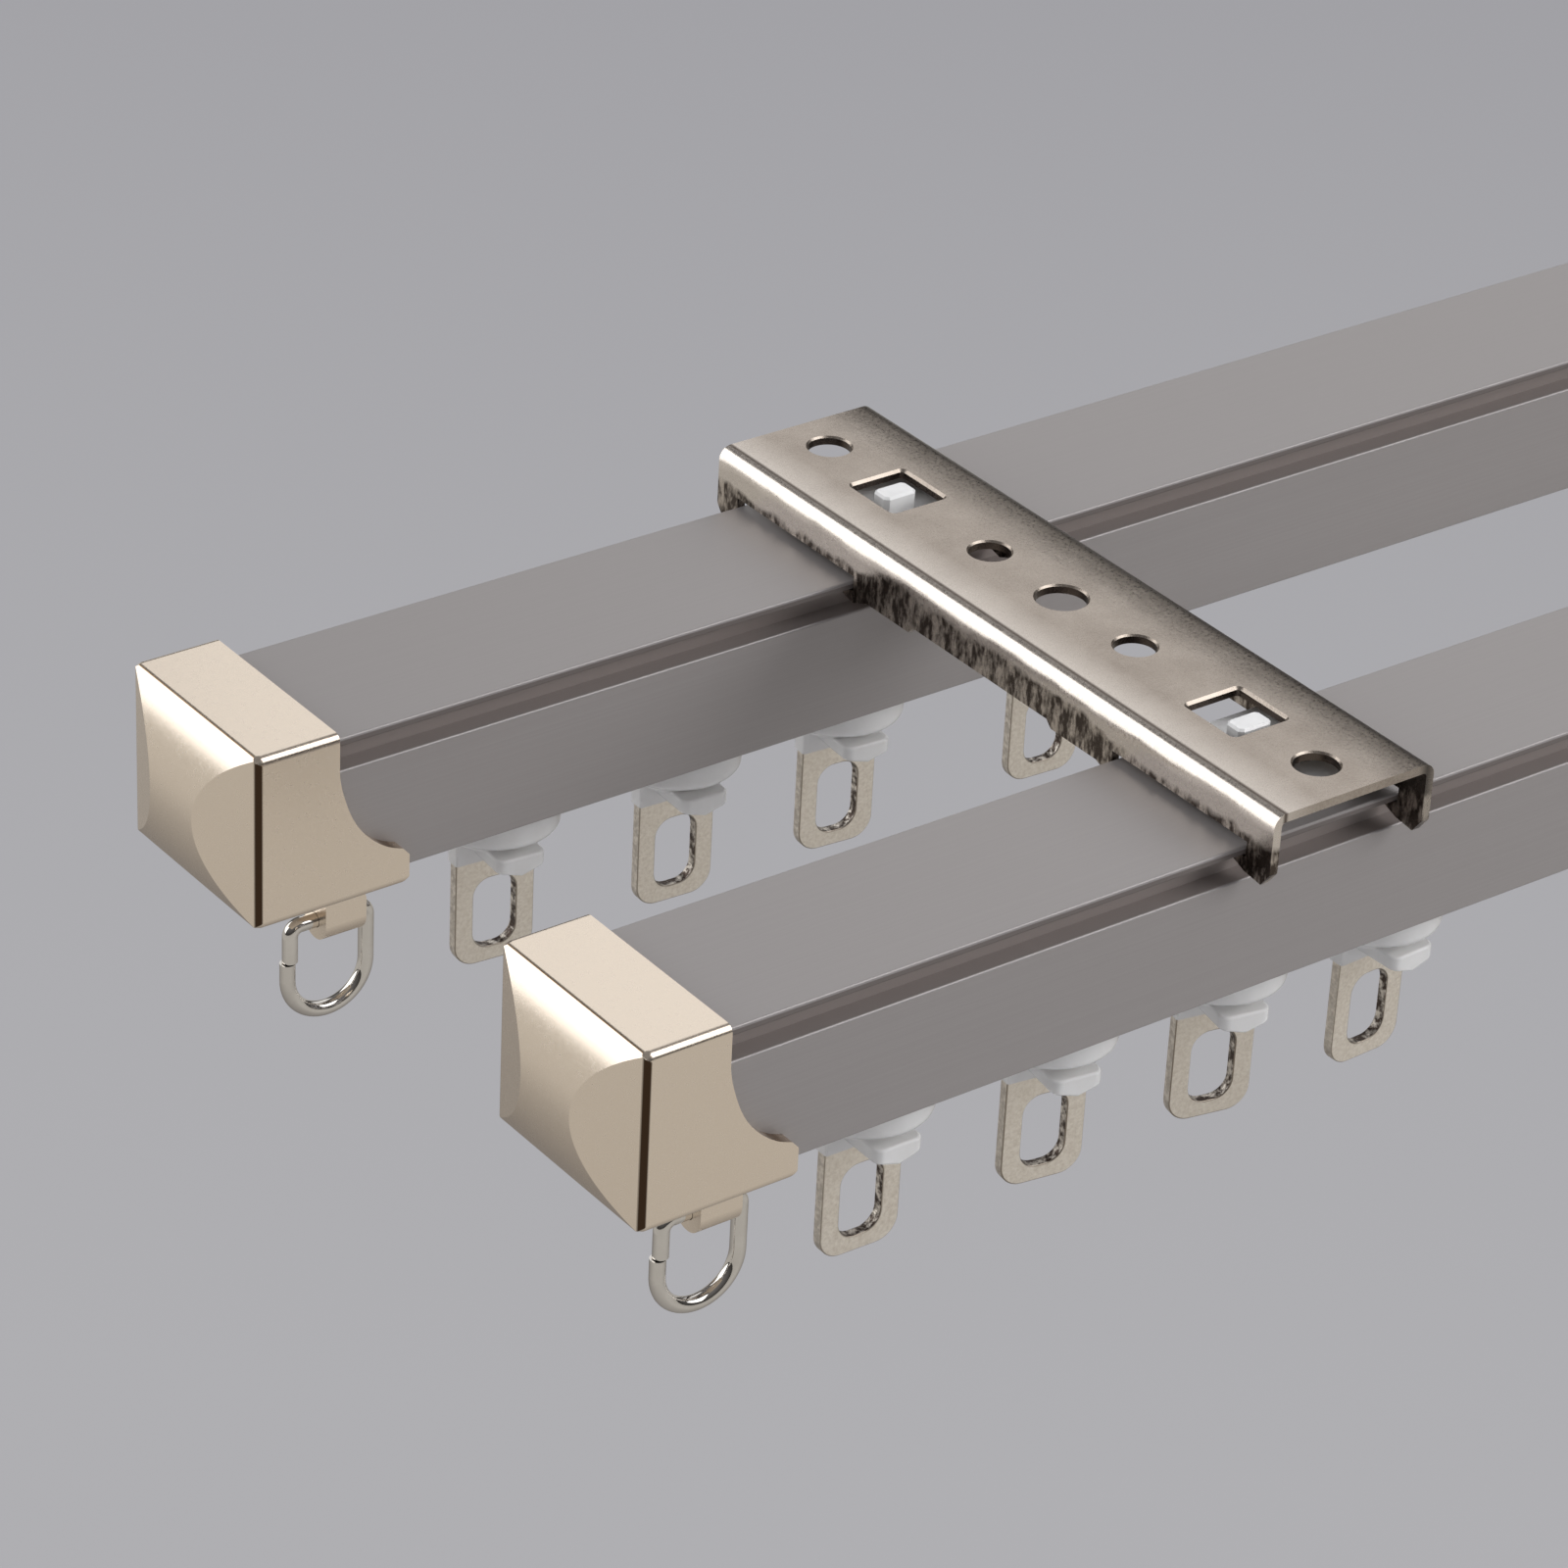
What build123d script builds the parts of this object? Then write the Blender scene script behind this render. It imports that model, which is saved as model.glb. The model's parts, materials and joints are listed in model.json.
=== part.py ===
from build123d import *
import os

# Double curtain track for a ceiling: two C-section rails in two bent-sheet brackets, an end cap with a
# swinging wire ring at each rail end, and four gliding runners per rail, each with a swivelling eye plate.
# Millimetres. X runs along the rails, Y across them, Z up. The origin is on the ceiling face of the left
# bracket, at its centre.

# Layout
pitch = 65.0
front_y = -pitch / 2
rear_y = pitch / 2
bracket_spacing = 432.0
middle_x = bracket_spacing / 2
front_cap_x = -83.75
rear_cap_shift = -1.85
front_runner_x = (-48.5, -25.2, -2.9, 18.4)
rear_runner_x = (-49.0, -25.3, -3.2, 26.3)
front_yaw = (-1.0, -8.0, -10.5, 2.5)
rear_yaw = (-4.5, -2.9, -4.6, -3.0)

# Rail section
rail_top = -5.4
rail_height = 17.25
rail_bottom = rail_top - rail_height
lip_half = 10.2
lip_thick = 1.0
groove_half = 8.1
ledge_drop = 3.65
body_half = 10.43
rail_wall = 1.2
groove_wall = 1.1
top_wall = 1.5
foot_thick = 1.4
slot_half = 3.2
rail_edge = 0.25
ledge_z = rail_top - ledge_drop
lip_under = rail_top - lip_thick

# Bracket
sheet = 1.0
bracket_half_w = 10.5
outer_leg = 3.7
bend_r = 1.5
notch_gap = 0.17
bracket_half_l = rear_y + body_half + notch_gap + outer_leg
over_rail_z = -4.6
mid_flange_z = -6.0
deep_flange_z = -6.8
step_in_y = 11.3
step_out_y = 12.1
tip_z = -8.3
outer_low_z = -6.7
tip_back = 1.2
hook_reach = 1.9
hook_thick = 0.9
window_inset = 4.1
window_y = rear_y - window_inset
window_w = 7.1
window_l = 7.7
window_corner = 0.5
end_hole_inset = 6.0
end_hole_y = bracket_half_l - end_hole_inset
end_hole_d = 4.8
small_hole_y = 12.2
small_hole_d = 4.6
mid_hole_d = 5.6
hole_edge = 0.2
window_edge = 0.3

# Rail lock
lock_w = 14.0
lock_l = 15.0
lock_base = 2.6
stud_w = 4.3
stud_l = 2.7
stud_top = -0.1
stud_corner = 0.5
stud_y_rear = window_y + 0.5
stud_y_front = -window_y - 2.0

# End cap
pocket_gap = 0.02
cap_side_wall = 1.6
cap_half = body_half + pocket_gap + cap_side_wall
cap_top = -3.77
cap_bottom = -23.83
cap_end_wall = 2.0
cap_top_len = 9.6
cap_tongue_len = 18.1
cap_bulge = 3.04
cap_apex_y = 4.05
cap_edge = 0.9
cap_face_edge = 0.6
tongue_curve = ((9.6, -7.85), (10.2, -11.3), (11.3, -14.2), (13.3, -16.95), (15.5, -18.65), (17.3, -19.4))
tongue_nose = 0.9

# Lug and ring under each cap
lug_x0 = 14.25
lug_x1 = 19.25
lug_top_x1 = 17.6
lug_half = 2.2
ring_bar_z = -33.2
wire_d = 1.7
ring_gap = 0.05
ring_x = 15.75
ring_half = 4.85
ring_low = -44.5
ring_corner = 1.2
seam_z = -37.35
seam_gap = 0.12
seam_shift = 0.3

# Runner
slide_gap = 0.1
head_len = 10.0
head_side_gap = 0.63
head_half = body_half - rail_wall - head_side_gap
head_tall = 4.0
neck_gap = 0.4
neck_d = 2 * (slot_half - neck_gap)
collar_hub_d = 8.0
collar_hub_z = -24.9
collar_d = 14.3
collar_z = -28.0
collar_edge = 1.0
pin_d = 3.0
pin_gap = 0.05
pin_head_d = 4.6
pin_head_t = 0.8
seat_d = 5.2
seat_deep = 1.0

# Swivel block and eye plate
swivel_gap = 0.1
hub_d = 9.0
block_top = -29.2
block_half_w = 2.9
block_half_l = 6.5
block_side_z = -30.75
block_point_z = -31.6
holder_half_w = 5.0
holder_half_t = 1.0
holder_z = -32.1
plastic_edge = 0.3
block_corner = 1.0
plate_half_w = 4.82
plate_t = 1.25
plate_top = -30.6
plate_low = -45.1
plate_corner = 2.6
slot_w = 5.2
slot_top = -34.7
slot_low = -43.3
slot_corner = 2.1

os.makedirs("parts", exist_ok=True)


def save(shape, name):
    export_step(shape, "parts/" + name + ".step")


def span(x0, x1, y0, y1, z0, z1):
    centre = ((x0 + x1) / 2, (y0 + y1) / 2, (z0 + z1) / 2)
    return Pos(*centre) * Box(x1 - x0, y1 - y0, z1 - z0)


def rod(d, z0, z1):
    return Pos(0, 0, (z0 + z1) / 2) * Cylinder(d / 2, z1 - z0)


def face_of(points):
    return make_face(Polyline(*points, close=True))


def prism_x(points, x0, x1):
    # Outline given as (y, z), run along X
    face = face_of([(0, y, z) for y, z in points])
    return Pos(x0, 0, 0) * extrude(face, x1 - x0, dir=(1, 0, 0))


def prism_y(points, y0, y1):
    # Outline given as (x, z), run along Y
    face = face_of([(x, 0, z) for x, z in points])
    return Pos(0, y0, 0) * extrude(face, y1 - y0, dir=(0, 1, 0))


def both_ways(half):
    # Closes a half outline, given from top to bottom at +Y, with its mirror image
    return half + [(-y, z) for y, z in reversed(half)]


# Rails
def rail_shape(length):
    top_in = rail_top - top_wall
    ledge_in = ledge_z - rail_wall
    foot_z = rail_bottom + foot_thick
    wall_in = body_half - rail_wall
    throat = groove_half - groove_wall
    outer = both_ways([
        (lip_half, rail_top),
        (lip_half, lip_under),
        (groove_half, lip_under),
        (groove_half, ledge_z),
        (body_half, ledge_z),
        (body_half, rail_bottom),
    ])
    inner = both_ways([
        (throat, top_in),
        (throat, ledge_in),
        (wall_in, ledge_in),
        (wall_in, foot_z),
    ])
    body = prism_x(outer, 0, length)
    showing = body.edges().filter_by(Axis.X).filter_by(lambda e: abs(e.center().Y) > groove_half + 0.5)
    body = fillet(showing, rail_edge)
    body -= prism_x(inner, -1, length + 1)
    body -= span(-1, length + 1, -slot_half, slot_half, rail_bottom - 1, foot_z + 1)
    return body


rail_front_x0 = front_cap_x + cap_end_wall
rail_len = 2 * (middle_x - rail_front_x0)
rail = rail_shape(rail_len)
save(Pos(rail_front_x0, front_y, 0) * rail, "front_rail")
save(Pos(rail_front_x0 + rear_cap_shift, rear_y, 0) * rail, "rear_rail")


# Brackets
def bracket_shape():
    rail_in = rear_y - body_half - notch_gap
    rail_out = rear_y + body_half + notch_gap
    hook_in = rail_in + hook_reach
    hook_out = rail_out - hook_reach
    half = [
        (bracket_half_l, 1.0),
        (bracket_half_l, outer_low_z),
        (bracket_half_l - tip_back, tip_z),
        (rail_out, tip_z + 0.3),
        (hook_out, lip_under - hook_thick),
        (hook_out, lip_under),
        (rail_out, lip_under),
        (rail_out, over_rail_z),
        (rail_in, over_rail_z),
        (rail_in, lip_under),
        (hook_in, lip_under),
        (hook_in, lip_under - hook_thick),
        (rail_in, tip_z + 0.5),
        (rail_in - 2.4, deep_flange_z),
        (step_out_y, deep_flange_z),
        (step_in_y, mid_flange_z),
    ]
    outline = prism_x(both_ways(half), -bracket_half_w - 1, bracket_half_w + 1)
    w = bracket_half_w
    outer = span(-w, w, -bracket_half_l, bracket_half_l, tip_z - 1, 0)
    top_edges = outer.edges().filter_by(Axis.Y).filter_by(lambda e: e.center().Z > -0.1)
    outer = fillet(top_edges, bend_r)
    inner = span(-w + sheet, w - sheet, -bracket_half_l - 1, bracket_half_l + 1, tip_z - 2, -sheet)
    inner_edges = inner.edges().filter_by(Axis.Y).filter_by(lambda e: e.center().Z > -sheet - 0.1)
    inner = fillet(inner_edges, bend_r - sheet)
    body = (outer - inner) & outline
    for side in (-1, 1):
        window = span(-window_w / 2, window_w / 2, -window_l / 2, window_l / 2, -sheet - 1, 1)
        window = fillet(window.edges().filter_by(Axis.Z), window_corner)
        body -= Pos(0, side * window_y, 0) * window
        body -= Pos(0, side * end_hole_y, 0) * rod(end_hole_d, -sheet - 1, 1)
        body -= Pos(0, side * small_hole_y, 0) * rod(small_hole_d, -sheet - 1, 1)
    body -= rod(mid_hole_d, -sheet - 1, 1)
    rims = body.edges().filter_by(GeomType.CIRCLE).filter_by(lambda e: abs(e.center().Z) < 0.01)
    rims = rims.filter_by(lambda e: e.radius > 1.5)
    body = chamfer(rims, hole_edge)
    frames = body.edges().filter_by(lambda e: abs(e.center().Z) < 0.01 and abs(e.center().X) < window_w)
    frames = frames.filter_by(lambda e: abs(abs(e.center().Y) - window_y) < window_l / 2 + 0.01)
    frames = frames.filter_by(lambda e: abs(e.center().X) < window_w / 2 + 0.01)
    return chamfer(frames, window_edge)


bracket = bracket_shape()
save(bracket, "bracket_left")
save(Pos(bracket_spacing, 0, 0) * bracket, "bracket_right")


# Rail locks
def lock_shape(rail_y, stud_y):
    low = rail_top + lock_base
    base = span(-lock_w / 2, lock_w / 2, rail_y - lock_l / 2, rail_y + lock_l / 2, rail_top, low)
    base = fillet(base.edges().filter_by(Axis.Z), 1.5)
    stud = span(-stud_w / 2, stud_w / 2, -stud_l / 2, stud_l / 2, low - 0.5, stud_top)
    stud = chamfer(stud.edges().filter_by(Axis.Z), stud_corner)
    stud = chamfer(stud.faces().sort_by(Axis.Z)[-1].edges(), 0.25)
    return base + Pos(0, stud_y, 0) * stud


lock_front = lock_shape(front_y, stud_y_front)
lock_rear = lock_shape(rear_y, stud_y_rear)
save(lock_front, "lock_front_left")
save(lock_rear, "lock_rear_left")
save(Pos(bracket_spacing, 0, 0) * lock_front, "lock_front_right")
save(Pos(bracket_spacing, 0, 0) * lock_rear, "lock_rear_right")


# End caps, with x measured from the end face's corners
def cap_shape():
    nose_x = cap_tongue_len
    nose_top = tongue_curve[-1]
    with BuildSketch(Plane.XZ) as side:
        with BuildLine():
            Line((0, cap_top), (cap_top_len, cap_top))
            Line((cap_top_len, cap_top), tongue_curve[0])
            Spline(*tongue_curve, tangents=((0, -1), (1, -0.35)))
            Line(nose_top, (nose_x, nose_top[1] - tongue_nose))
            Line((nose_x, nose_top[1] - tongue_nose), (nose_x, cap_bottom + tongue_nose))
            Line((nose_x, cap_bottom + tongue_nose), (nose_x - tongue_nose, cap_bottom))
            Line((nose_x - tongue_nose, cap_bottom), (0, cap_bottom))
            Line((0, cap_bottom), (0, cap_top))
        make_face()
    tube = extrude(side.sketch, cap_half, both=True)
    mid_z = (cap_top + cap_bottom) / 2
    arc = ThreePointArc((0, 0, cap_top), (-cap_bulge, 0, mid_z), (0, 0, cap_bottom))
    back = Line((0, 0, cap_bottom), (0, 0, cap_top))
    drum = extrude(make_face([arc, back]), cap_half, dir=(0, 1, 0), both=True)
    ridge = cap_bulge * cap_half / (cap_half - cap_apex_y)
    tent = face_of([(0, -cap_half, cap_bottom), (-ridge, 0, cap_bottom), (0, cap_half, cap_bottom)])
    tent = extrude(tent, cap_top - cap_bottom, dir=(0, 0, 1))
    body = tube + (drum & tent)
    long_edges = body.edges().filter_by(Axis.X).filter_by(lambda e: abs(abs(e.center().Y) - cap_half) < 0.01)
    corner_edges = body.edges().filter_by(Axis.Z).filter_by(lambda e: abs(e.center().X) < 0.01)
    body = fillet(long_edges + corner_edges, cap_edge)
    end_edges = body.edges().filter_by(Axis.Y).filter_by(lambda e: abs(e.center().X) < 0.01)
    body = fillet(end_edges, cap_face_edge)
    pocket_y = body_half + pocket_gap
    body -= span(cap_end_wall, cap_tongue_len + 5, -pocket_y, pocket_y, rail_bottom, rail_top)
    lug_side = [
        (lug_x0, cap_bottom + 0.5),
        (lug_top_x1 - 0.3, cap_bottom + 0.5),
        (lug_x1, ring_bar_z + lug_half),
        (lug_x1, ring_bar_z - lug_half),
        (lug_x0, ring_bar_z - lug_half),
    ]
    lug = prism_y(lug_side, -lug_half, lug_half)
    low_edges = lug.edges().filter_by(Axis.X).filter_by(lambda e: e.center().Z < ring_bar_z)
    lug = fillet(low_edges, lug_half - 0.05)
    body += lug
    hole = Rot(0, 90, 0) * Cylinder(wire_d / 2 + ring_gap, 20)
    body -= Pos((lug_x0 + lug_x1) / 2, 0, ring_bar_z) * hole
    return body


def wire_line(x0, z0, x1, z1):
    length = ((x1 - x0) ** 2 + (z1 - z0) ** 2) ** 0.5
    start = Plane((x0, 0, z0), z_dir=(x1 - x0, 0, z1 - z0))
    return extrude(start * Circle(wire_d / 2), length)


def wire_bend(cx, cz, r, turn, towards):
    # Part of a torus standing in the XZ plane. It starts on the centre's level, on side towards (1 or -1),
    # and runs upward for a positive turn.
    start = Plane((cx + towards * r, 0, cz), z_dir=(0, 0, 1))
    axis = Axis((cx, 0, cz), (0, -towards if turn > 0 else towards, 0))
    return revolve(start * Circle(wire_d / 2), axis, abs(turn))


def ring_shape():
    # An open wire loop whose two ends meet, slightly out of line, on the left leg
    r = ring_half
    c = ring_corner
    left = -r + seam_shift
    turn_z = ring_low + r
    body = wire_line(-r, seam_z - seam_gap, -r, turn_z)
    body += wire_bend(0, turn_z, r, -180, 1)
    body += wire_line(r, turn_z, r, ring_bar_z - c)
    body += wire_bend(r - c, ring_bar_z - c, c, 90, 1)
    body += wire_line(r - c, ring_bar_z, left + c, ring_bar_z)
    body += wire_bend(left + c, ring_bar_z - c, c, 90, -1)
    return body + wire_line(left, ring_bar_z - c, left, seam_z)


cap = cap_shape()
ring = Pos(ring_x, 0, 0) * ring_shape()
for name, y, x in (("front", front_y, front_cap_x), ("rear", rear_y, front_cap_x + rear_cap_shift)):
    far_x = x + rail_len + 2 * cap_end_wall
    save(Pos(x, y, 0) * cap, "cap_" + name + "_left")
    save(Pos(far_x, y, 0) * mirror(cap, Plane.YZ), "cap_" + name + "_right")
    save(Pos(x, y, 0) * ring, "ring_" + name + "_left")
    save(Pos(far_x, y, 0) * mirror(ring, Plane.YZ), "ring_" + name + "_right")


# Runners
def glider_shape():
    foot = rail_bottom + foot_thick + slide_gap
    top = foot + head_tall
    head = span(-head_len / 2, head_len / 2, -head_half, head_half, foot, top)
    head = fillet(head.edges().filter_by(Axis.Z), 1.5)
    body = head + rod(neck_d, rail_bottom - slide_gap - 0.5, foot + 0.5)
    body += rod(collar_hub_d, collar_hub_z - 0.5, rail_bottom - slide_gap)
    disc = rod(collar_d, collar_z, collar_hub_z)
    disc = fillet(disc.edges().filter_by(GeomType.CIRCLE).sort_by(Axis.Z)[0], collar_edge)
    body += disc
    body -= rod(pin_d + 2 * pin_gap, collar_z - 1, top + 1)
    body -= rod(seat_d, top - seat_deep, top + 1)
    return body


def swivel_shape():
    top = rail_bottom + foot_thick + slide_gap + head_tall
    pin_head_z = top - seat_deep + swivel_gap
    hub_top = collar_z - swivel_gap
    block = prism_y([
        (-block_half_w, block_top),
        (block_half_w, block_top),
        (block_half_w, block_side_z),
        (0, block_point_z),
        (-block_half_w, block_side_z),
    ], -block_half_l, block_half_l)
    block = fillet(block.edges().filter_by(Axis.Z), block_corner)
    low_edges = block.edges().filter_by(Axis.Y)
    block = fillet(low_edges, plastic_edge)
    w = holder_half_w
    t = holder_half_t
    holder = span(-w, w, -t, t, holder_z, block_top)
    holder = fillet(holder.edges().filter_by(Axis.Z), plastic_edge)
    body = block + holder + rod(hub_d, block_top - 0.3, hub_top)
    body += rod(pin_d, hub_top - 0.3, pin_head_z + 0.2) + rod(pin_head_d, pin_head_z, pin_head_z + pin_head_t)
    half_t = plate_t / 2
    return body - span(-plate_half_w, plate_half_w, -half_t, half_t, holder_z - 1, plate_top)


def plate_shape():
    half_t = plate_t / 2
    body = span(-plate_half_w, plate_half_w, -half_t, half_t, plate_low, plate_top)
    low_edges = body.edges().filter_by(Axis.Y).filter_by(lambda e: e.center().Z < plate_low + 0.1)
    body = fillet(low_edges, plate_corner)
    slot = span(-slot_w / 2, slot_w / 2, -2, 2, slot_low, slot_top)
    slot = fillet(slot.edges().filter_by(Axis.Y), slot_corner)
    return body - slot


glider = glider_shape()
swivel = swivel_shape()
plate = plate_shape()
rows = (
    ("front", front_y, front_runner_x, front_yaw),
    ("rear", rear_y, rear_runner_x, rear_yaw),
)
for name, y, places, turns in rows:
    for i in range(4):
        tag = "_" + name + "_" + str(i + 1)
        place = Pos(places[i], y, 0)
        save(place * glider, "glider" + tag)
        save(place * Rot(0, 0, turns[i]) * swivel, "swivel" + tag)
        save(place * Rot(0, 0, turns[i]) * plate, "eye_plate" + tag)
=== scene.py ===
import json
from math import cos, pi, radians, sin

import bpy
from mathutils import Euler, Matrix, Vector


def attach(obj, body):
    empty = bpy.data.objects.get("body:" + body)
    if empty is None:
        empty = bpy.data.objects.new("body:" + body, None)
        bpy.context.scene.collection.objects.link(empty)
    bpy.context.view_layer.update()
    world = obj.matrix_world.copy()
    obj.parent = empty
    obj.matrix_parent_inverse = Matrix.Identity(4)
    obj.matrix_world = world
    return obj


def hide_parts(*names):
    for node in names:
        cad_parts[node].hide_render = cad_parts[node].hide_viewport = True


# Looks for the double curtain track: materials, finer eye plates, floor, studio light and the camera.
# Metres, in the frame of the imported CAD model.

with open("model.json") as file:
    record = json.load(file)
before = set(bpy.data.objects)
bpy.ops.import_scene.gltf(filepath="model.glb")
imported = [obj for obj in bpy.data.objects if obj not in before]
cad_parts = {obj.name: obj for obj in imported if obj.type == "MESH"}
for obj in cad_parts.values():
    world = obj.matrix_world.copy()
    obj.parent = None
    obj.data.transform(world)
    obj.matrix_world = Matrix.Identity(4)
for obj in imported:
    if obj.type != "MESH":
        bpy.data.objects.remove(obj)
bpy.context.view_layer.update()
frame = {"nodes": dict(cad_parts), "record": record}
nodes = frame["nodes"]
mm = 0.001

# Camera, solved from the photograph
camera_place = Vector((-343.23, -399.60, 280.55)) * mm
camera_azimuth = 37.615
camera_elevation = 30.088
camera_roll = 2.942
camera_lens = 130.84
sensor_width = 36
near_clip = 0.01
far_clip = 50

# Background, as the photograph shows it
backdrop_far = (0.325, 0.322, 0.345)
backdrop_near = (0.425, 0.422, 0.440)
floor_z = -0.30
floor_size = 16
floor_centre = (0.2, 0, floor_z)

# Rail groove: heights of its ledge, of its lip's underside and of the lip's rounded edge
ledge_height = -9.07 * mm
lip_low = -6.45 * mm
lip_high = -5.72 * mm
groove_soft = 0.01 * mm

# Brackets: their size, and where their surface changes
bracket_spacing = 432 * mm
strip_half_w = 10.5 * mm
strip_end = 46.2 * mm
before_end = 45.5 * mm
crown_depth = 1.9 * mm
crown_power = 2.4
mottle_low = -3.0 * mm
mottle_high = -2.4 * mm
mottle_lift = 1.5 * mm
mottle_wander = 2.4 * mm
between_rails = 17 * mm
over_rails = 22 * mm
bend_low = -0.9 * mm
bend_high = 0.3 * mm
bend_wander = 2.6 * mm
bend_lean_out = 0.86
bend_lean_up = 0.50

# Eye plates
plate_half_w = 4.82 * mm
plate_half_t = 0.625 * mm
plate_top = -30.6 * mm
plate_low = -45.1 * mm
plate_top_corner = 0.3 * mm
plate_low_corner = 2.6 * mm
plate_edge = 0.16 * mm
slot_half_w = 2.6 * mm
slot_top = -34.7 * mm
slot_low = -43.3 * mm
slot_corner = 2.1 * mm
slot_rim = 0.3 * mm
least_corner = 0.02 * mm
corner_steps = 12

# Each row's place, then its eye plates' places along the rail in mm and their turns in degrees
rail_y = 32.5 * mm
runners = {
    "front": (-rail_y, (-48.5, -25.2, -2.9, 18.4), (-1.0, -8.0, -10.5, 2.5)),
    "rear": (rail_y, (-49.0, -25.3, -3.2, 26.3), (-4.5, -2.9, -4.6, -3.0)),
}


# Node helpers, for a material or for the world
def opaque(colour):
    return (*colour, 1)


def add(owner, kind, **values):
    node = owner.node_tree.nodes.new(kind)
    for key, value in values.items():
        if hasattr(node, key):
            setattr(node, key, value)
        else:
            node.inputs[key].default_value = value
    return node


def link(owner, output, socket):
    owner.node_tree.links.new(output, socket)


def feed(owner, value, socket):
    if isinstance(value, bpy.types.NodeSocket):
        link(owner, value, socket)
    else:
        socket.default_value = value


def maths(owner, operation, *values):
    node = add(owner, "ShaderNodeMath", operation=operation)
    for value, socket in zip(values, node.inputs):
        feed(owner, value, socket)
    return node.outputs["Value"]


def coordinates(owner, name):
    return add(owner, "ShaderNodeTexCoord").outputs[name]


def axes_of(owner, vector):
    split = add(owner, "ShaderNodeSeparateXYZ")
    link(owner, vector, split.inputs["Vector"])
    return split.outputs


def noise(owner, scale, detail=4.0, stretch=(1, 1, 1), roughness=0.6):
    fit = add(owner, "ShaderNodeMapping", Scale=stretch)
    texture = add(owner, "ShaderNodeTexNoise", Scale=scale, Detail=detail, Roughness=roughness)
    link(owner, coordinates(owner, "Object"), fit.inputs["Vector"])
    link(owner, fit.outputs["Vector"], texture.inputs["Vector"])
    return texture.outputs["Fac"]


# Turns values from start to end into values from low to high
def spread(owner, value, low, high, start=0.3, end=0.7):
    node = add(owner, "ShaderNodeMapRange")
    node.inputs["From Min"].default_value = start
    node.inputs["From Max"].default_value = end
    node.inputs["To Min"].default_value = low
    node.inputs["To Max"].default_value = high
    link(owner, value, node.inputs["Value"])
    return node.outputs["Result"]


def rise(owner, value, start, end):
    return spread(owner, value, low=0.0, high=1.0, start=start, end=end)


def fall(owner, value, start, end):
    return spread(owner, value, low=1.0, high=0.0, start=start, end=end)


def between(owner, value, low, high, soft):
    above = rise(owner, value, start=low - soft, end=low + soft)
    below = fall(owner, value, start=high - soft, end=high + soft)
    return maths(owner, "MULTIPLY", above, below)


def colour_ramp(owner, value, dark, light, start=0.3, end=0.7):
    ramp = add(owner, "ShaderNodeValToRGB")
    first, last = ramp.color_ramp.elements
    first.position = start
    first.color = opaque(dark)
    last.position = end
    last.color = opaque(light)
    link(owner, value, ramp.inputs["Fac"])
    return ramp.outputs["Color"]


def mix_colour(owner, share, under, over):
    node = add(owner, "ShaderNodeMix", data_type="RGBA")
    link(owner, share, node.inputs["Factor"])
    feed(owner, under, node.inputs["A"])
    feed(owner, over, node.inputs["B"])
    return node.outputs["Result"]


def bump(owner, value, height, strength, under=None):
    node = add(owner, "ShaderNodeBump", Strength=strength, Distance=height)
    link(owner, value, node.inputs["Height"])
    if under:
        link(owner, under, node.inputs["Normal"])
    return node.outputs["Normal"]


def new_material(name, metallic=0.0, **sockets):
    mat = bpy.data.materials.new(name)
    mat.use_nodes = True
    bsdf = mat.node_tree.nodes["Principled BSDF"]
    bsdf.inputs["Metallic"].default_value = metallic
    for socket, value in sockets.items():
        bsdf.inputs[socket.replace("_", " ")].default_value = value
    return mat


def dress(mat, colour, roughness=None, normal=None):
    bsdf = mat.node_tree.nodes["Principled BSDF"]
    link(mat, colour, bsdf.inputs["Base Color"])
    if roughness:
        link(mat, roughness, bsdf.inputs["Roughness"])
    if normal:
        link(mat, normal, bsdf.inputs["Normal"])
    return mat


# Rails: satin grey, drawn lengthways, with a browner groove; the lip's front face is painted dark, a
# painted shade
def anodised_aluminium():
    dark_line = (0.350, 0.328, 0.325)
    light_line = (0.374, 0.351, 0.348)
    groove_colour = (0.36, 0.318, 0.304)
    lip_shade_colour = (0.185, 0.162, 0.155)
    mat = new_material("anodised", metallic=0.38)
    lines = noise(mat, scale=60, stretch=(0.2, 90, 90))
    colour = colour_ramp(mat, lines, dark_line, light_line)
    height = axes_of(mat, coordinates(mat, "Object"))["Z"]
    groove = between(mat, height, ledge_height, lip_low, groove_soft)
    colour = mix_colour(mat, groove, colour, opaque(groove_colour))
    # Painted shade: the lip's lit front face is painted dark like the shaded groove below it
    lip_shade = between(mat, height, lip_low, lip_high, groove_soft)
    colour = mix_colour(mat, lip_shade, colour, opaque(lip_shade_colour))
    roughness = spread(mat, lines, low=0.37, high=0.45)
    relief = bump(mat, lines, height=0.01 * mm, strength=0.12)
    return dress(mat, colour, roughness, relief)


# How nearly a surface faces a direction, mirrored about every axis
def facing_mask(mat, direction, start, end):
    size = add(mat, "ShaderNodeVectorMath", operation="ABSOLUTE")
    link(mat, coordinates(mat, "Normal"), size.inputs[0])
    dot = add(mat, "ShaderNodeVectorMath", operation="DOT_PRODUCT")
    link(mat, size.outputs["Vector"], dot.inputs[0])
    dot.inputs[1].default_value = Vector(direction).normalized()
    return rise(mat, dot.outputs["Value"], start=start, end=end)
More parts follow.
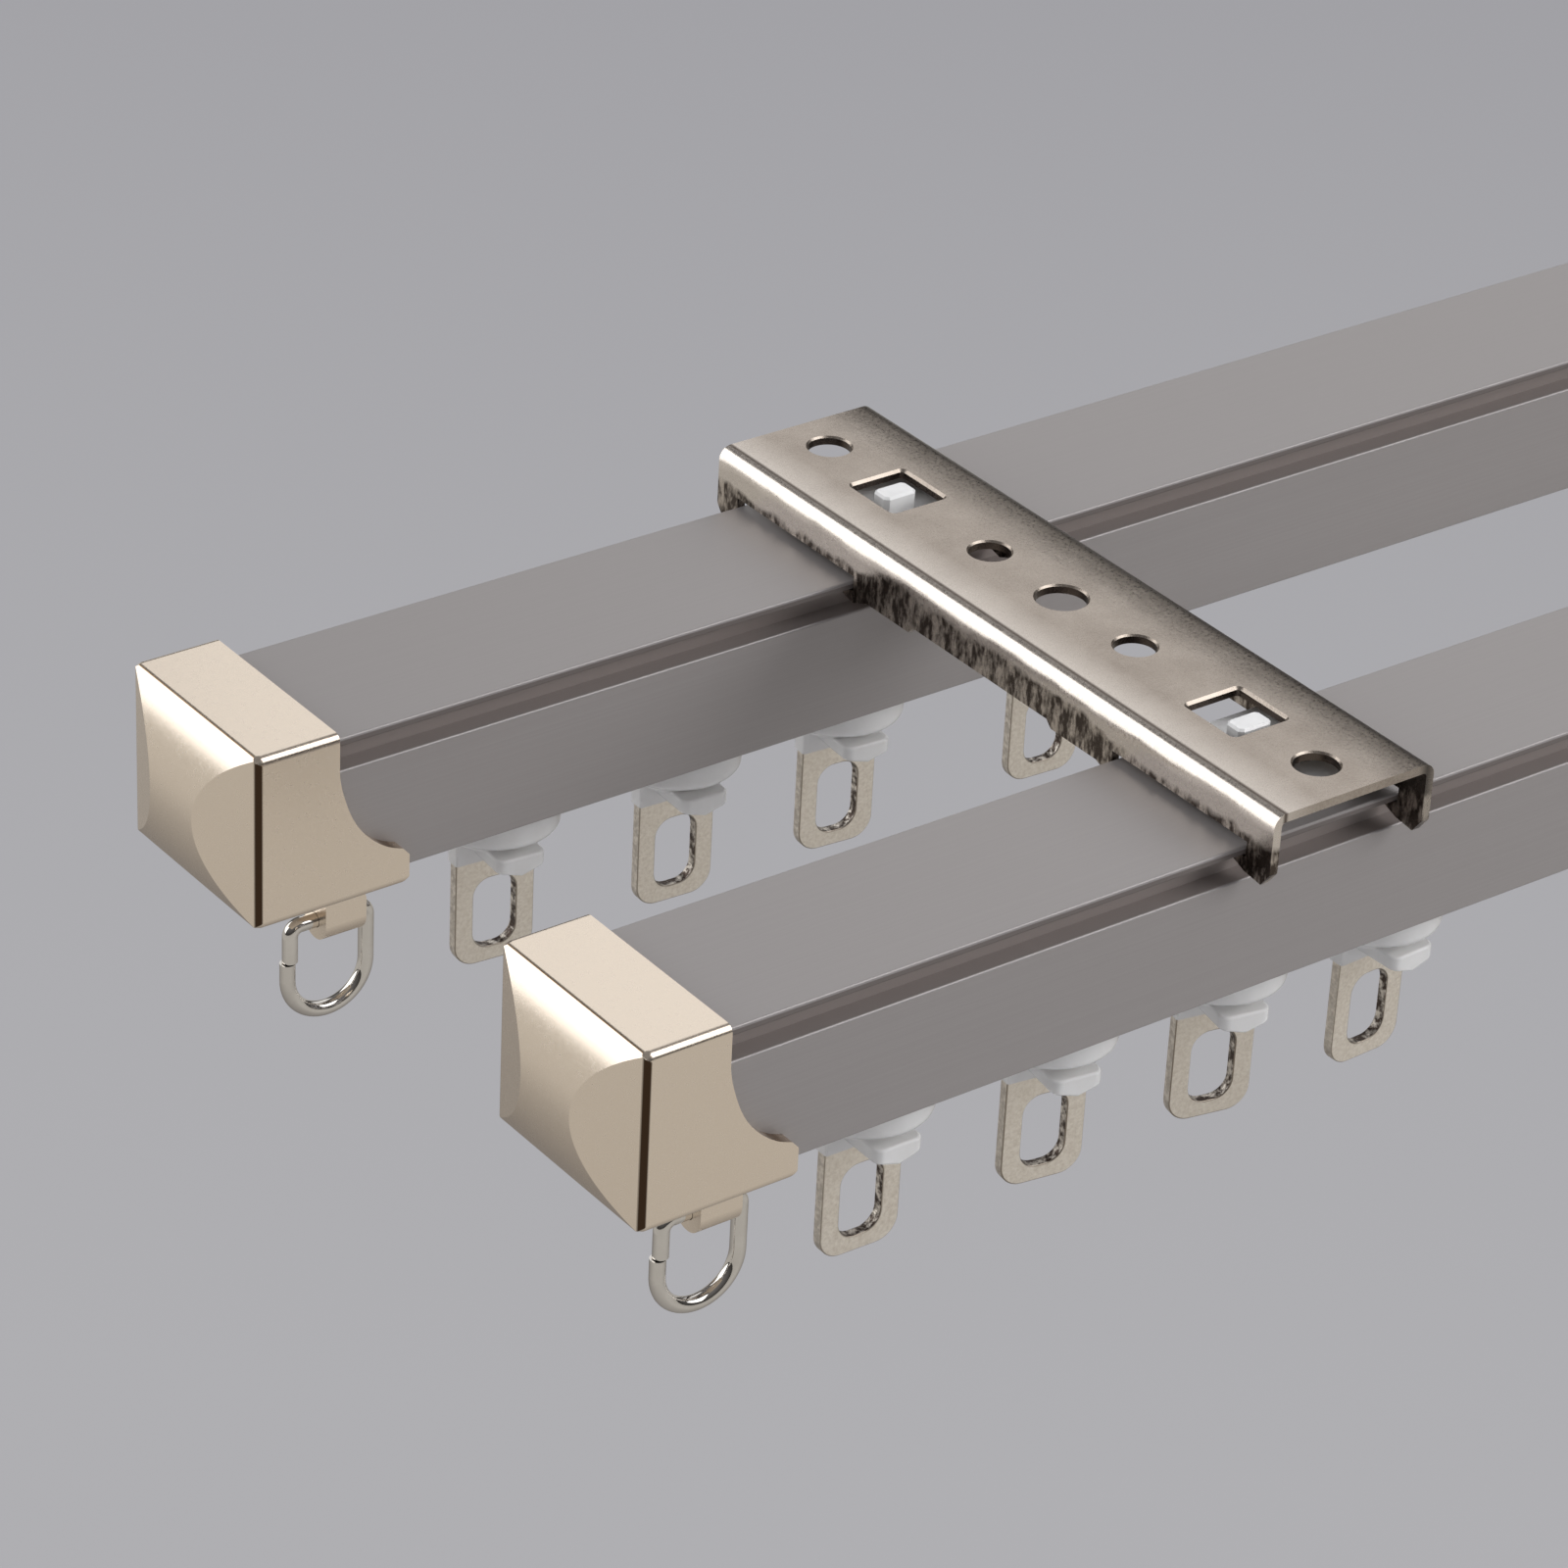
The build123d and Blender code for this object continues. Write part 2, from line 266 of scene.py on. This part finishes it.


# End caps: light gold, with painted dark reflections on the upright corners and along the edge where the
# end face meets the top
def champagne_metal():
    dark_gold = (0.935, 0.815, 0.685)
    light_gold = (0.955, 0.84, 0.71)
    corner_reflection_colour = (0.07, 0.042, 0.025)
    top_line_reflection_colour = (0.34, 0.23, 0.14)
    mat = new_material("champagne", metallic=1.0)
    grain = noise(mat, scale=1500)
    colour = colour_ramp(mat, grain, dark_gold, light_gold)
    # Painted dark reflection on the upright rounded corners
    corner_reflection = facing_mask(mat, direction=(0.6, 0.8, 0.0), start=0.86, end=0.93)
    colour = mix_colour(mat, corner_reflection, colour, opaque(corner_reflection_colour))
    # Painted dark reflection where the end face meets the top
    top_line_reflection = facing_mask(mat, direction=(0.47, 0.0, 0.88), start=0.985, end=0.998)
    colour = mix_colour(mat, top_line_reflection, colour, opaque(top_line_reflection_colour))
    roughness = spread(mat, grain, low=0.24, high=0.28)
    relief = bump(mat, grain, height=0.003 * mm, strength=0.06)
    return dress(mat, colour, roughness, relief)


# Wire rings
def polished_wire():
    dark = (0.70, 0.67, 0.63)
    light = (0.78, 0.75, 0.71)
    mat = new_material("chrome_wire", metallic=1.0)
    grain = noise(mat, scale=300)
    roughness = spread(mat, grain, low=0.05, high=0.10)
    return dress(mat, colour_ramp(mat, grain, dark, light), roughness)


# Brackets: across is -1 at the strip's near long edge and 1 at its far one
def nickel_top(mat, grain, across):
    dark = (0.35, 0.295, 0.25)
    light = (0.60, 0.53, 0.465)
    near_edge_highlight = (0.90, 0.83, 0.76)
    patch_share = 0.4
    grain_share = 0.6
    patch = noise(mat, scale=140, detail=3)
    speckle = maths(mat, "MULTIPLY_ADD", patch, patch_share, maths(mat, "MULTIPLY", grain, grain_share))
    colour = colour_ramp(mat, speckle, dark, light, start=0.32, end=0.68)
    # Painted highlight: the top is painted lighter towards its near long edge
    near_painted_light = spread(mat, across, low=0.75, high=0.0, start=-0.92, end=-0.42)
    return mix_colour(mat, near_painted_light, colour, opaque(near_edge_highlight))


# Painted dark reflections: dark lines where each bend starts
def nickel_bend_lines(mat, colour, across):
    near_bend_reflection = (0.17, 0.14, 0.12)
    far_bend_reflection = (0.12, 0.10, 0.085)
    near_painted_light = between(mat, across, low=-0.89, high=-0.845, soft=0.015)
    colour = mix_colour(mat, near_painted_light, colour, opaque(near_bend_reflection))
    far_reflection_line = between(mat, across, low=0.85, high=0.97, soft=0.05)
    return mix_colour(mat, far_reflection_line, colour, opaque(far_bend_reflection))


# Low on the flange the colour is painted dark and mottled, a painted dark reflection, most of all between
# the rails
def nickel_flange(mat, colour, place, along):
    dark = (0.085, 0.067, 0.055)
    light = (0.66, 0.59, 0.52)
    raised = spread(mat, along, low=-mottle_lift, high=0.0, start=between_rails, end=over_rails)
    height = maths(mat, "ADD", place["Z"], raised)
    uneven = maths(mat, "MULTIPLY_ADD", noise(mat, scale=260, detail=2), mottle_wander, height)
    low = fall(mat, uneven, start=mottle_low, end=mottle_high)
    flecks = noise(mat, scale=1100, detail=3, stretch=(1, 1, 0.4))
    mottled_reflection = colour_ramp(mat, flecks, dark, light, start=0.42, end=0.62)
    return mix_colour(mat, low, colour, mottled_reflection)


# Walls of the holes and windows are painted dark, a painted shade in the recesses
def nickel_holes(mat, colour, across, along, normal):
    hole_wall_shade = (0.12, 0.095, 0.08)
    wall = fall(mat, maths(mat, "ABSOLUTE", normal["Z"]), start=0.15, end=0.3)
    inner = fall(mat, maths(mat, "ABSOLUTE", across), start=0.6, end=0.7)
    off_end = fall(mat, along, start=before_end, end=strip_end)
    hole_shade_mask = maths(mat, "MULTIPLY", wall, maths(mat, "MULTIPLY", inner, off_end))
    return mix_colour(mat, hole_shade_mask, colour, opaque(hole_wall_shade))


# The pressed strip falls away towards its far long edge, and is grained and slightly dented
def nickel_relief(mat, grain, across):
    drop = maths(mat, "POWER", maths(mat, "MAXIMUM", across, 0.0), crown_power)
    crown = bump(mat, drop, height=-crown_depth, strength=1.0)
    fine = bump(mat, grain, height=0.03 * mm, strength=0.8, under=crown)
    dents = noise(mat, scale=260, detail=3, stretch=(1, 0.4, 1))
    return bump(mat, dents, height=0.12 * mm, strength=0.5, under=fine)


# The bend runs out unevenly, down the flange
def nickel_bend(mat, relief, side, place, normal):
    outward = maths(mat, "MULTIPLY", side, normal["X"])
    bend = rise(mat, outward, start=0.5, end=0.65)
    uneven = maths(mat, "MULTIPLY_ADD", noise(mat, scale=110, detail=2), bend_wander, place["Z"])
    upper = spread(mat, uneven, low=0.0, high=0.7, start=bend_low, end=bend_high)
    tilt = add(mat, "ShaderNodeCombineXYZ", Z=bend_lean_up)
    link(mat, maths(mat, "MULTIPLY", side, bend_lean_out), tilt.inputs["X"])
    blend = add(mat, "ShaderNodeMix", data_type="VECTOR")
    link(mat, maths(mat, "MULTIPLY", bend, upper), blend.inputs["Factor"])
    link(mat, relief, blend.inputs["A"])
    link(mat, tilt.outputs["Vector"], blend.inputs["B"])
    return blend.outputs["Result"]


def satin_nickel():
    mat = new_material("nickel", metallic=1.0)
    grain = noise(mat, scale=2600, detail=6, roughness=0.7)
    place = axes_of(mat, coordinates(mat, "Object"))
    normal = axes_of(mat, coordinates(mat, "Normal"))
    # From the middle line of the bracket, for both brackets alike
    local = maths(mat, "WRAP", place["X"], bracket_spacing / 2, -bracket_spacing / 2)
    side = maths(mat, "SIGN", local)
    across = maths(mat, "DIVIDE", local, strip_half_w)
    along = maths(mat, "ABSOLUTE", place["Y"])
    colour = nickel_top(mat, grain, across)
    colour = nickel_bend_lines(mat, colour, across)
    colour = nickel_flange(mat, colour, place, along)
    colour = nickel_holes(mat, colour, across, along, normal)
    roughness = spread(mat, grain, low=0.20, high=0.40)
    relief = nickel_relief(mat, grain, across)
    return dress(mat, colour, roughness, nickel_bend(mat, relief, side, place, normal))


# Runners and swivel blocks: milky, slightly see-through
def clear_plastic():
    dark = (0.90, 0.89, 0.88)
    light = (0.95, 0.94, 0.93)
    depth = 6 * mm
    mat = new_material(
        "clear_plastic",
        Roughness=0.22,
        Coat_Weight=0.5,
        Coat_Roughness=0.08,
        Transmission_Weight=0.2,
        IOR=1.42,
        Subsurface_Weight=0.6,
        Subsurface_Radius=(depth, depth, depth),
    )
    return dress(mat, colour_ramp(mat, noise(mat, scale=500), dark, light))


# Rail locks
def white_plastic():
    dark = (0.84, 0.84, 0.84)
    light = (0.92, 0.92, 0.92)
    mat = new_material("white_plastic", Roughness=0.3)
    return dress(mat, colour_ramp(mat, noise(mat, scale=700), dark, light))


# Eye plates: sheared edges are darker and rougher than the faces, most of all in the slot
def satin_plate():
    dark = (0.74, 0.67, 0.58)
    light = (0.97, 0.91, 0.82)
    rim_colour = (0.30, 0.255, 0.21)
    torn_dark = (0.07, 0.05, 0.04)
    torn_light = (0.80, 0.74, 0.66)
    outer_share = 0.35
    mat = new_material("satin_plate", metallic=0.8)
    grain = noise(mat, scale=2400, detail=5)
    flat = maths(mat, "ABSOLUTE", axes_of(mat, coordinates(mat, "Normal"))["Y"])
    rim = between(mat, flat, low=0.5, high=0.96, soft=0.03)
    face_colour = colour_ramp(mat, grain, dark, light)
    colour = mix_colour(mat, rim, face_colour, opaque(rim_colour))
    in_slot = add(mat, "ShaderNodeAttribute", attribute_name="slot_wall").outputs["Fac"]
    depth = spread(mat, in_slot, low=outer_share, high=1.0, start=0.0, end=1.0)
    cut = maths(mat, "MULTIPLY", fall(mat, flat, start=0.35, end=0.6), depth)
    torn = noise(mat, scale=1300, detail=2)
    torn_colour = colour_ramp(mat, torn, torn_dark, torn_light, start=0.42, end=0.66)
    colour = mix_colour(mat, cut, colour, torn_colour)
    tear = bump(mat, maths(mat, "MULTIPLY", torn, cut), height=0.3 * mm, strength=0.8)
    fine = bump(mat, grain, height=0.02 * mm, strength=0.5, under=tear)
    return dress(mat, colour, spread(mat, grain, low=0.28, high=0.42), fine)


finish_of = {
    "anodised": anodised_aluminium(),
    "champagne": champagne_metal(),
    "wire": polished_wire(),
    "nickel": satin_nickel(),
    "clear_plastic": clear_plastic(),
    "white_plastic": white_plastic(),
    "satin_metal": satin_plate(),
}
for part in frame["record"]["subparts"]:
    mesh = nodes[part["node"]].data
    mesh.materials.clear()
    mesh.materials.append(finish_of[part["material_slot"]])


# Eye plates, with rolled edges: one rounded outline for the plate, and one for its slot
def rounded(curve, half_w, low, high, low_corner, high_corner, inset):
    corners = (
        (half_w - inset, low + inset, low_corner, 270),
        (half_w - inset, high - inset, high_corner, 0),
        (-half_w + inset, high - inset, high_corner, 90),
        (-half_w + inset, low + inset, low_corner, 180),
    )
    middle = (low + high) / 2
    points = []
    for x, z, radius, start in corners:
        reach = max(radius - inset, least_corner)
        centre_x = x - reach if x > 0 else x + reach
        centre_z = z + reach if z < middle else z - reach
        for step in range(corner_steps + 1):
            turn = radians(start + 90 * step / corner_steps)
            points.append((centre_x + reach * cos(turn), centre_z + reach * sin(turn)))
    spline = curve.splines.new("POLY")
    spline.points.add(len(points) - 1)
    for spot, (x, z) in zip(spline.points, points):
        spot.co = (x, z, 0, 1)
    spline.use_cyclic_u = True


def flat_plate(name):
    curve = bpy.data.curves.new(name, "CURVE")
    curve.dimensions = "2D"
    curve.fill_mode = "BOTH"
    curve.extrude = plate_half_t - plate_edge
    curve.bevel_depth = plate_edge
    curve.bevel_resolution = 2
    rounded(curve, plate_half_w, plate_low, plate_top, plate_low_corner, plate_top_corner, plate_edge)
    rounded(curve, slot_half_w, slot_low, slot_top, slot_corner, slot_corner, -plate_edge)
    draft = bpy.data.objects.new(name + "_draft", curve)
    mesh = bpy.data.meshes.new_from_object(draft)
    bpy.data.objects.remove(draft)
    return mesh


# Marks the slot's walls for the material, while the plate still lies flat
def mark_slot(mesh):
    slot_wall = mesh.attributes.new("slot_wall", "FLOAT", "POINT")
    for vertex, mark in zip(mesh.vertices, slot_wall.data):
        beside = abs(vertex.co.x) < slot_half_w + slot_rim
        level = slot_low - slot_rim < vertex.co.y < slot_top + slot_rim
        mark.value = float(beside and level)


def eye_plate(row, number, x, y, turn):
    name = "eye_plate_" + row + "_" + str(number)
    mesh = flat_plate(name)
    mark_slot(mesh)
    mesh.transform(Matrix.Rotation(radians(90), 4, "X"))
    mesh.transform(Matrix.Rotation(radians(turn), 4, "Z"))
    mesh.transform(Matrix.Translation((x, y, 0)))
    mesh.materials.clear()
    mesh.materials.append(finish_of["satin_metal"])
    for face in mesh.polygons:
        face.use_smooth = False
    piece = bpy.data.objects.new(name + "_fine", mesh)
    bpy.context.scene.collection.objects.link(piece)
    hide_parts(name)
    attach(piece, "hanger_" + row + "_" + str(number))


for row, (y, places, turns) in runners.items():
    for number, (place, turn) in enumerate(zip(places, turns), start=1):
        eye_plate(row, number, place * mm, y, turn)


# Floor: it shows the camera the backdrop's shades, and keeps the object's shadow
def backdrop_colour(mat, place):
    axes = axes_of(mat, place)
    away = rise(mat, maths(mat, "ADD", axes["X"], axes["Y"]), start=0.15, end=1.35)
    return colour_ramp(mat, away, backdrop_near, backdrop_far, start=0.0, end=1.0)


# Seen in polished metal, the floor glows darker under the track, a painted shadow
def mirrored_floor_colour(mat, place):
    dark = (0.19, 0.175, 0.16)
    light = (0.50, 0.48, 0.445)
    painted_shadow_centre = (-0.15, 0.25, 0)
    centred = add(mat, "ShaderNodeVectorMath", operation="SUBTRACT")
    link(mat, place, centred.inputs[0])
    centred.inputs[1].default_value = painted_shadow_centre
    reach = add(mat, "ShaderNodeVectorMath", operation="LENGTH")
    link(mat, centred.outputs["Vector"], reach.inputs[0])
    return colour_ramp(mat, reach.outputs["Value"], dark, light, start=0.1, end=0.62)


def mix_shaders(mat, share, first, second):
    node = add(mat, "ShaderNodeMixShader")
    link(mat, share, node.inputs["Fac"])
    link(mat, first, node.inputs[1])
    link(mat, second, node.inputs[2])
    return node.outputs["Shader"]


def floor_material():
    paint_colour = (0.55, 0.55, 0.57)
    glow_share = 0.9
    mat = bpy.data.materials.new("floor")
    mat.use_nodes = True
    mat.node_tree.nodes.clear()
    place = coordinates(mat, "Object")
    ray = add(mat, "ShaderNodeLightPath").outputs
    backdrop = backdrop_colour(mat, place)
    mirrored = mirrored_floor_colour(mat, place)
    glow = add(mat, "ShaderNodeEmission", Strength=1.0)
    link(mat, mix_colour(mat, ray["Is Glossy Ray"], backdrop, mirrored), glow.inputs["Color"])
    paint = add(mat, "ShaderNodeBsdfDiffuse", Color=opaque(paint_colour))
    seen = maths(mat, "MAXIMUM", ray["Is Camera Ray"], ray["Is Glossy Ray"])
    share = maths(mat, "MULTIPLY", seen, glow_share)
    above = mix_shaders(mat, share, paint.outputs["BSDF"], glow.outputs["Emission"])
    # From below, the floor is clear
    clear = add(mat, "ShaderNodeBsdfTransparent").outputs["BSDF"]
    back = add(mat, "ShaderNodeNewGeometry").outputs["Backfacing"]
    out = add(mat, "ShaderNodeOutputMaterial")
    link(mat, mix_shaders(mat, back, above, clear), out.inputs["Surface"])
    return mat


bpy.ops.mesh.primitive_plane_add(size=floor_size, location=floor_centre)
floor = bpy.context.object
floor.name = "floor"
floor.data.materials.append(floor_material())


# Light
def softbox(name, direction, distance, width, height, radiance):
    light = bpy.data.lights.new(name, "AREA")
    light.shape = "RECTANGLE"
    light.size = width
    light.size_y = height
    light.energy = radiance * pi * width * height
    lamp = bpy.data.objects.new(name, light)
    bpy.context.scene.collection.objects.link(lamp)
    toward = Vector(direction).normalized()
    lamp.location = toward * distance
    lamp.rotation_euler = toward.to_track_quat("Z", "Y").to_euler()
    lamp.visible_camera = False
    return lamp


softbox("back_right", (0.63, 0.56, 0.50), distance=2.0, width=1.6, height=1.3, radiance=0.77)
softbox("back_left", (-0.60, 0.69, 0.38), distance=2.0, width=2.1, height=1.6, radiance=1.75)
edge_light = softbox("edge_light", (0.53, -0.50, 0.69), distance=2.0, width=1.5, height=1.5, radiance=2.4)
edge_light.visible_diffuse = False
front_fill = softbox("front_fill", (0.60, -0.62, 0.46), distance=1.1, width=0.6, height=0.6, radiance=5.6)
front_fill.visible_glossy = False


# Even light on every surface, but a darker room in what polished metal reflects
def studio_world():
    even = (0.48, 0.48, 0.49)
    room_low = (0.04, 0.038, 0.036)
    room_high = (0.17, 0.165, 0.165)
    world = bpy.data.worlds.new("studio")
    world.use_nodes = True
    height = axes_of(world, coordinates(world, "Generated"))["Z"]
    room = colour_ramp(world, height, room_low, room_high, start=0.0, end=0.8)
    glossy = add(world, "ShaderNodeLightPath").outputs["Is Glossy Ray"]
    shade = mix_colour(world, glossy, opaque(even), room)
    link(world, shade, world.node_tree.nodes["Background"].inputs["Color"])
    return world


bpy.context.scene.world = studio_world()

# Camera
camera = bpy.data.cameras.new("camera")
camera.lens = camera_lens
camera.sensor_width = sensor_width
camera.clip_start = near_clip
camera.clip_end = far_clip
eye = bpy.data.objects.new("camera", camera)
aim = Euler((radians(90 - camera_elevation), 0, -radians(camera_azimuth))).to_matrix()
roll = Matrix.Rotation(radians(camera_roll), 3, "Z")
eye.matrix_world = Matrix.Translation(camera_place) @ (aim @ roll).to_4x4()
bpy.context.scene.collection.objects.link(eye)
bpy.context.scene.camera = eye
bpy.context.scene.view_settings.view_transform = "Standard"
